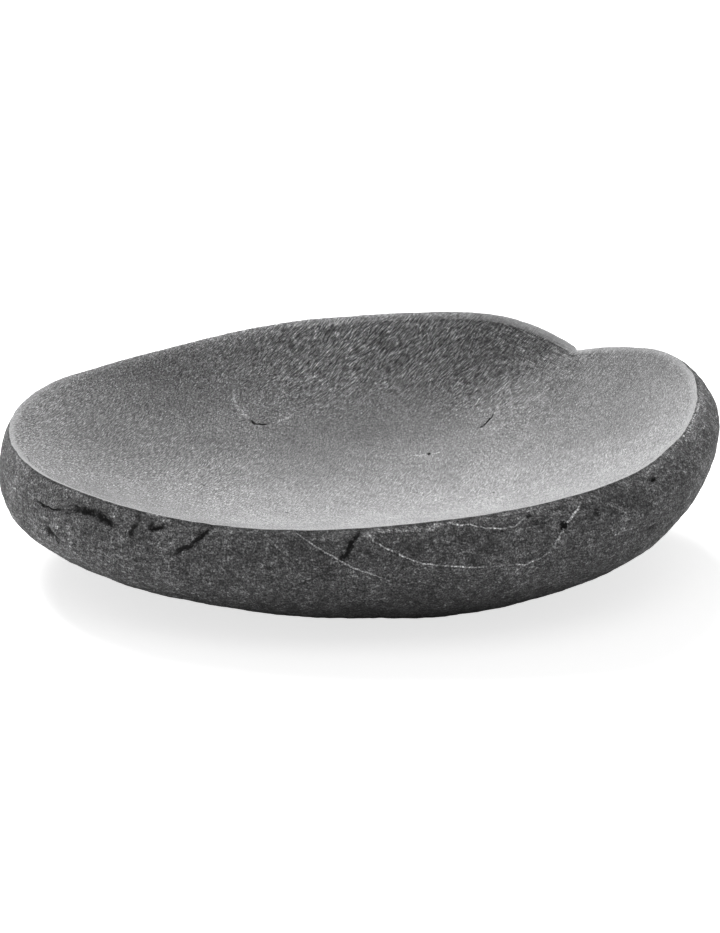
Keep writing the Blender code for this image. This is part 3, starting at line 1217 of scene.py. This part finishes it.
@dataclass(frozen=True)
class Finish:
    """What every finish has: a name, a plain colour, a roughness, a gloss and fine relief."""

    name: str
    colour: Triple
    roughness: float
    rougher_by: float
    relief: float
    relief_depth: float
    gloss: float = 0.5

    def pattern(self, nodes: Nodes, effects: Effects, place: bpy.types.NodeSocket) -> Pattern:
        """The finish's own pattern.

        Args:
            nodes: The material's tree.
            effects: The patterns that the finishes share.
            place: The point on the object.

        Returns:
            The values that go to the shader.
        """
        raise NotImplementedError

    def build(self, effects: Effects) -> bpy.types.Material:
        """The finish's material.

        Args:
            effects: The patterns that the finishes share.

        Returns:
            The material.
        """
        material, nodes, shader = new_material(self.name)
        place = nodes.add("ShaderNodeTexCoord").outputs["Object"]
        pattern = self.pattern(nodes, effects, place)
        colour = shade(nodes, self.colour, pattern.stops, pattern.dimming)
        nodes.put(shader.inputs["Base Color"], colour)
        bump = nodes.add("ShaderNodeBump")
        bump.inputs["Strength"].default_value = self.relief
        bump.inputs["Distance"].default_value = self.relief_depth
        nodes.put(bump.inputs["Height"], pattern.height)
        nodes.put(shader.inputs["Normal"], bump.outputs[0])
        roughness = nodes.math("MULTIPLY_ADD", pattern.rougher, self.rougher_by, self.roughness)
        nodes.put(shader.inputs["Roughness"], roughness)
        shader.inputs["Specular IOR Level"].default_value = self.gloss
        return material


@dataclass(frozen=True)
class TooledStone(Finish):
    """The hollow: ground with a small wheel, in strokes on the steep wall and fine grain elsewhere.

    Distances from the rim are in millimetres.
    """

    name: str = "tooled_basalt"
    colour: Triple = (0.198, 0.198, 0.200)
    roughness: float = 0.82
    rougher_by: float = 0.05
    relief: float = 0.55
    relief_depth: float = 0.00022
    gloss: float = 0.3
    wall_way: Triple = (0.66, 0.40, 0.60)
    level_way: Triple = (0.31, 0.95, 0.0)
    comb_way: Triple = (0.78, -0.56, -0.28)
    fine: Triple = (330.0, 2300.0, 2300.0)
    coarse: Triple = (150.0, 1300.0, 1300.0)
    # How far from the rim the lip's painted highlight, the painted shadow below it and the band's painted
    # highlight reach.
    lip_end: tuple[float, float] = (3.7, 4.3)
    shadow_end: tuple[float, float] = (4.6, 6.4)
    band_end: tuple[float, float] = (1.5, 3.8)

    def edges(self, nodes: Nodes) -> tuple[object, object, object]:
        """The high wall's lip, smoothed and given a painted highlight, the painted shadow below it, and the
        low rim's band, smoothed and given a painted highlight.

        Args:
            nodes: The material's tree.

        Returns:
            The three masks, in that order.
        """
        from_rim, lip = nodes.attribute("from_rim"), nodes.attribute("lip")
        on_lip = nodes.span(from_rim, *self.lip_end, 1.0, 0.0)
        # The painted shadow under the lip.
        below = nodes.math("SUBTRACT", nodes.span(from_rim, *self.shadow_end, 1.0, 0.0), on_lip)
        band = nodes.math("MULTIPLY", nodes.span(from_rim, *self.band_end, 1.0, 0.0), nodes.attribute("band"))
        return nodes.math("MULTIPLY", on_lip, lip), nodes.math("MULTIPLY", below, lip), band

    def pattern(self, nodes: Nodes, effects: Effects, place: bpy.types.NodeSocket) -> Pattern:
        """Strokes, grain, clouds and the broad tone with its painted light and shade, smoothed along the
        edges, with painted highlights on the lip and band and a painted shadow under the lip.

        Args:
            nodes: The material's tree.
            effects: The patterns that the finishes share.
            place: The point on the object.

        Returns:
            The values that go to the shader.
        """
        wall, side, comb = (nodes.attribute(name) for name in ("wall", "side", "comb"))
        strokes, level, combed = (
            nodes.value(effects.strokes, Vector=place, Turn=turn, Density=density, Contrast=contrast)
            for turn, density, contrast in (
                (turn_along(self.wall_way), self.fine, 5.5),
                (turn_along(self.level_way), self.fine, 5.5),
                (turn_along(self.comb_way), self.coarse, 5.0),
            )
        )
        speckle = nodes.use(effects.speckle, Vector=place, Scale=1900.0)
        grain, sparks = speckle.outputs["Value"], speckle.outputs["Sparks"]
        crack, vein = nodes.marks(effects.line, place)
        texture = weigh(
            nodes,
            0.0,
            (strokes, nodes.math("MULTIPLY_ADD", wall, 2.20, 0.12)),
            (level, weigh(nodes, 0.85, (side, 0.60), (wall, -0.40))),
            (combed, nodes.math("MULTIPLY", comb, 1.2)),
            (grain, 1.00),
            (sparks, 0.25),
            (nodes.value(effects.clouds, Vector=place, Scale=34.0), 0.22),
            (nodes.value(effects.clouds, Vector=place, Scale=110.0), 0.14),
            # The broad tone, with painted light and painted shade in it.
            (nodes.attribute("tone"), 1.0),
        )
        lip, shadow, band = self.edges(nodes)
        rubbed = nodes.math("MULTIPLY", texture, weigh(nodes, 1.0, (lip, -0.55), (band, -0.80)))
        height = weigh(
            nodes,
            0.0,
            (strokes, nodes.math("MULTIPLY", wall, 0.55)),
            (level, nodes.math("MULTIPLY_ADD", side, 0.35, 0.12)),
            (combed, nodes.math("MULTIPLY", comb, 0.8)),
            (grain, 0.25),
            (crack, -1.6),
            (vein, 0.2),
        )
        return Pattern(
            # Painted highlights on the band and the lip, and a painted shadow under the lip.
            stops=weigh(nodes, rubbed, (band, 0.72), (lip, 0.46), (shadow, -0.45), (vein, 0.9)),
            height=height,
            rougher=grain,
            dimming=nodes.math("MULTIPLY_ADD", crack, -0.92, 1.0),
        )


@dataclass(frozen=True)
class NaturalCrust(Finish):
    """The cobble's outside: dark, grainy and weathered, with pale flecks, streaks, veins and open cracks."""

    name: str = "natural_basalt_crust"
    colour: Triple = (0.086, 0.086, 0.087)
    roughness: float = 0.78
    rougher_by: float = 0.06
    relief: float = 0.7
    relief_depth: float = 0.0004
    gloss: float = 0.35
    layers: Triple = (260.0, 260.0, 1100.0)
    flake_layers: Triple = (150.0, 150.0, 620.0)
    flake_turn: Triple = (0.0, 0.12, 0.0)
    # Where the painted shadow line under the rim's edge runs, in millimetres from the edge.
    rim_shadow_line: tuple[float, float] = (-1.3, -0.2)

    def pattern(self, nodes: Nodes, effects: Effects, place: bpy.types.NodeSocket) -> Pattern:
        """Grain and level streaks, with flakes and pits in patches, and a painted shadow line under the rim's
        edge.

        Args:
            nodes: The material's tree.
            effects: The patterns that the finishes share.
            place: The point on the object.

        Returns:
            The values that go to the shader.
        """
        streaks = nodes.value(effects.strokes, Vector=place, Density=self.layers, Contrast=6.0)
        flakes = nodes.value(
            effects.strokes, Vector=place, Turn=self.flake_turn, Density=self.flake_layers, Contrast=6.0
        )
        speckle = nodes.use(effects.speckle, Vector=place, Scale=1500.0)
        grain, sparks = speckle.outputs["Value"], speckle.outputs["Sparks"]
        clouds, blotches, smudges = (
            nodes.value(effects.clouds, Vector=place, Scale=scale) for scale in (45.0, 190.0, 520.0)
        )
        crack, vein = nodes.marks(effects.line, place)
        flecks = nodes.math("MULTIPLY", sparks, nodes.span(blotches, -0.3, 0.6, 0.1, 1.0))
        flaked = nodes.math("MULTIPLY", nodes.span(flakes, 0.15, 0.95), nodes.span(clouds, -0.25, 0.45))
        pits = nodes.math("MULTIPLY", nodes.span(blotches, -0.55, -0.95), nodes.span(grain, 0.3, -0.5))
        stops = weigh(
            nodes,
            0.0,
            (streaks, 0.60),
            (grain, 2.00),
            (smudges, 1.00),
            (flecks, 1.2),
            (flaked, 0.8),
            (pits, -1.1),
            (clouds, 0.30),
            (blotches, 0.60),
            # The broad tone, with painted shade darkening the crust towards the bottom.
            (nodes.attribute("tone"), 1.0),
            (vein, 2.1),
            # Painted shadow: a dark line on the crust just under the rim's edge.
            (nodes.span(nodes.attribute("from_rim"), *self.rim_shadow_line), -1.3),
            (nodes.attribute("bruise"), nodes.math("MULTIPLY_ADD", grain, 2.2, 0.9)),
        )
        height = weigh(
            nodes,
            0.0,
            (streaks, 0.30),
            (flaked, 0.5),
            (grain, 0.45),
            (blotches, 1.0),
            (smudges, 0.5),
            (crack, -2.2),
            (vein, 0.3),
        )
        return Pattern(stops, height, grain, nodes.math("MULTIPLY_ADD", crack, -0.94, 1.0))


@dataclass(frozen=True)
class SawnBase(Finish):
    """The flat that the cobble stands on, ground level with a coarse disc."""

    name: str = "sawn_basalt"
    colour: Triple = (0.15, 0.15, 0.152)
    roughness: float = 0.8
    rougher_by: float = 0.05
    relief: float = 0.5
    relief_depth: float = 0.0002
    disc_way: Triple = (0.82, 0.57, 0.0)
    sweep: Triple = (25.0, 700.0, 700.0)

    def pattern(self, nodes: Nodes, effects: Effects, place: bpy.types.NodeSocket) -> Pattern:
        """Long sweeps of the disc over plain grain.

        Args:
            nodes: The material's tree.
            effects: The patterns that the finishes share.
            place: The point on the object.

        Returns:
            The values that go to the shader.
        """
        turn = turn_along(self.disc_way)
        sweeps = nodes.value(effects.strokes, Vector=place, Turn=turn, Density=self.sweep, Contrast=4.0)
        speckle = nodes.use(effects.speckle, Vector=place, Scale=1300.0)
        grain, sparks = speckle.outputs["Value"], speckle.outputs["Sparks"]
        clouds = nodes.value(effects.clouds, Vector=place, Scale=40.0)
        stops = weigh(nodes, 0.0, (sweeps, 0.3), (grain, 0.35), (sparks, 0.4), (clouds, 0.3))
        return Pattern(stops, weigh(nodes, 0.0, (sweeps, 0.5), (grain, 0.3)), grain)


@dataclass(frozen=True)
class MouldedRubber(Finish):
    """The feet: black rubber with a faint bloom and dust."""

    name: str = "moulded_rubber"
    colour: Triple = (0.022, 0.022, 0.022)
    roughness: float = 0.72
    rougher_by: float = 0.06
    relief: float = 0.3
    relief_depth: float = 0.00008

    def pattern(self, nodes: Nodes, effects: Effects, place: bpy.types.NodeSocket) -> Pattern:
        """Fine grain under a patchy bloom.

        Args:
            nodes: The material's tree.
            effects: The patterns that the finishes share.
            place: The point on the object.

        Returns:
            The values that go to the shader.
        """
        grain = nodes.value(effects.speckle, Vector=place, Scale=2600.0)
        bloom = nodes.value(effects.clouds, Vector=place, Scale=220.0)
        return Pattern(weigh(nodes, 0.0, (grain, 0.3), (bloom, 0.6)), grain, bloom)


@dataclass
class RubberFoot:
    """One stuck-on foot: a moulded button with a rounded tread, a cupped middle and a thin adhesive pad."""

    node: str
    segments: int = 48
    taper: float = 0.0012
    edge_round: float = 0.0005
    tread_inset: float = 0.0016
    cup_depth: float = 0.0004
    pad_inset: float = 0.0006
    pad_thickness: float = 0.0003
    tolerance: float = 0.00001
    crease: float = 40.0

    def build(self, finish: bpy.types.Material) -> bpy.types.Object:
        """The foot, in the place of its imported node.

        Args:
            finish: The rubber.

        Returns:
            The finished foot.
        """
        low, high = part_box(self.node)
        middle = (low + high) / 2
        radius = (high.x - low.x) / 2
        bm = bmesh.new()
        bmesh.ops.create_cone(
            bm,
            cap_ends=True,
            segments=self.segments,
            radius1=radius - self.taper,
            radius2=radius,
            depth=high.z - low.z,
        )
        bmesh.ops.translate(bm, verts=bm.verts, vec=middle)
        self.cup_tread(bm)
        self.add_pad(bm)
        rims = [edge for edge in bm.edges if self.is_outer_rim(edge, low.z, high.z, middle, radius)]
        bmesh.ops.bevel(
            bm, geom=rims, offset=self.edge_round, segments=3, profile=0.5, affect="EDGES", material=-1
        )
        bmesh.ops.recalc_face_normals(bm, faces=bm.faces)
        foot = new_object(self.node + "_moulded", bm, [finish])
        foot.data.shade_smooth()
        foot.data.set_sharp_from_angle(angle=math.radians(self.crease))
        return foot

    def cup_tread(self, bm: bmesh.types.BMesh) -> None:
        """Sink a shallow cup into the tread.

        Args:
            bm: The foot under construction.
        """
        tread = next(face for face in bm.faces if face.normal.z < -0.9)
        bmesh.ops.inset_region(bm, faces=[tread], thickness=self.tread_inset, depth=0.0)
        bmesh.ops.inset_region(bm, faces=[tread], thickness=self.edge_round, depth=-self.cup_depth)

    def add_pad(self, bm: bmesh.types.BMesh) -> None:
        """Raise the adhesive pad that fills the gap below the stone.

        Args:
            bm: The foot under construction.
        """
        top = next(face for face in bm.faces if face.normal.z > 0.9)
        bmesh.ops.inset_region(bm, faces=[top], thickness=self.pad_inset, depth=0.0)
        lifted = bmesh.ops.extrude_discrete_faces(bm, faces=[top])["faces"]
        corners = list({vert for face in lifted for vert in face.verts})
        bmesh.ops.translate(bm, verts=corners, vec=(0, 0, self.pad_thickness))

    def is_outer_rim(
        self, edge: bmesh.types.BMEdge, low: float, high: float, middle: Vector, radius: float
    ) -> bool:
        """Whether an edge is part of the tread's or the top's outer circle.

        Args:
            edge: The edge.
            low: The tread's height.
            high: The top's height.
            middle: The foot's middle.
            radius: The top's radius.

        Returns:
            True if it is.
        """
        heights = [vert.co.z for vert in edge.verts]
        reach = min((vert.co - middle).to_2d().length for vert in edge.verts)
        if max(heights) - min(heights) > self.tolerance or reach < radius - self.taper * 1.05:
            return False
        return min(abs(heights[0] - low), abs(heights[0] - high)) < self.tolerance


@dataclass
class Studio:
    """A pale floor, soft lights and the camera. A light is its place, its size and its watts."""

    lens: float = 100.0
    elevation: float = 21.5
    distance: float = 1.081
    target: Triple = (0.0, 0.0, 0.040)
    floor_reach: float = 6.0
    floor_glow: float = 0.72
    floor_roughness: float = 0.9
    pale: tuple[float, float, float, float] = (0.88, 0.88, 0.88, 1.0)
    key: tuple[Triple, tuple[float, float], float] = ((-0.35, 0.80, 1.15), (1.0, 0.7), 34.0)
    fill: tuple[Triple, tuple[float, float], float] = ((0.10, -0.55, 1.50), (1.4, 1.0), 3.0)
    all_round: float = 0.25
    backdrop_glow: float = 0.75

    def build(self) -> None:
        """Set the whole studio up."""
        self.add_floor()
        self.add_light("key", *self.key)
        self.add_light("fill", *self.fill)
        self.add_world()
        self.add_camera()

    def add_floor(self) -> None:
        """A wide pale sheet, which glows a little where the camera sees it."""
        bm = bmesh.new()
        bmesh.ops.create_grid(bm, x_segments=8, y_segments=8, size=self.floor_reach)
        material, nodes, shader = new_material("pale_floor")
        shader.inputs["Base Color"].default_value = self.pale
        shader.inputs["Roughness"].default_value = self.floor_roughness
        glow = nodes.add("ShaderNodeEmission")
        glow.inputs["Strength"].default_value = self.floor_glow
        seen = nodes.add("ShaderNodeMixShader")
        both = nodes.add("ShaderNodeAddShader")
        nodes.put(both.inputs[0], shader.outputs[0])
        nodes.put(both.inputs[1], glow.outputs[0])
        nodes.put(seen.inputs["Fac"], nodes.add("ShaderNodeLightPath").outputs["Is Camera Ray"])
        nodes.put(seen.inputs[1], shader.outputs[0])
        nodes.put(seen.inputs[2], both.outputs[0])
        nodes.put(material.node_tree.nodes["Material Output"].inputs["Surface"], seen.outputs[0])
        floor = new_object("studio_floor", bm, [material])

    def add_light(self, name: str, place: Triple, size: tuple[float, float], watts: float) -> None:
        """A soft rectangular light that faces the dish.

        Args:
            name: The light's name.
            place: Where it hangs.
            size: Its width and height.
            watts: Its power.
        """
        light = bpy.data.lights.new(name, "AREA")
        light.shape = "RECTANGLE"
        light.size, light.size_y = size
        light.energy = watts
        lamp = bpy.data.objects.new(name, light)
        lamp.location = place
        lamp.rotation_euler = (Vector(self.target) - Vector(place)).to_track_quat("-Z", "Y").to_euler()
        bpy.context.scene.collection.objects.link(lamp)

    def add_world(self) -> None:
        """Even light from all round, with a backdrop as pale as the floor."""
        world = bpy.data.worlds.new("studio_world")
        world.use_nodes = True
        background = world.node_tree.nodes["Background"]
        background.inputs["Color"].default_value = (1.0, 1.0, 1.0, 1.0)
        nodes = Nodes(world.node_tree)
        seen = nodes.add("ShaderNodeLightPath").outputs["Is Camera Ray"]
        strength = nodes.math("MULTIPLY_ADD", seen, self.backdrop_glow, self.all_round)
        nodes.put(background.inputs["Strength"], strength)
        bpy.context.scene.world = world

    def add_camera(self) -> None:
        """The camera, in front of the dish and a little above it."""
        data = bpy.data.cameras.new("camera")
        data.lens = self.lens
        camera = bpy.data.objects.new("camera", data)
        rise = math.radians(self.elevation)
        back = Vector((0.0, -math.cos(rise), math.sin(rise)))
        camera.location = Vector(self.target) + back * self.distance
        camera.rotation_euler = (-back).to_track_quat("-Z", "Y").to_euler()
        bpy.context.scene.collection.objects.link(camera)
        bpy.context.scene.camera = camera
        bpy.context.scene.view_settings.view_transform = "Standard"


def take_place(piece: bpy.types.Object, node: str) -> None:
    """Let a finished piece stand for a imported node.

    Args:
        piece: The finished piece, already in place.
        node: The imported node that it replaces.
    """
    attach(piece, BODY)
    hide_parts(node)
    LOG.info("%s stands for %s: %d faces", piece.name, node, len(piece.data.polygons))


def stone_form() -> StoneForm:
    """The stone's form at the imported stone's size."""
    low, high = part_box(STONE_NODE)
    return StoneForm(width=high.x - low.x, depth=high.y - low.y, bottom=low.z, crest=high.z - low.z)


def main() -> None:
    """Build the stone, its feet and the studio, and log each piece's face count."""
    logging.basicConfig(level=logging.INFO, format="%(name)s: %(message)s")
    effects = Effects()
    finishes = [SawnBase().build(effects), NaturalCrust().build(effects), TooledStone().build(effects)]
    stone = StoneDish(Skin(stone_form())).build(finishes)
    take_place(stone, STONE_NODE)
    rubber = MouldedRubber().build(effects)
    for node in FOOT_NODES:
        take_place(RubberFoot(node).build(rubber), node)
    Studio().build()


if __name__ == "__main__":
    main()
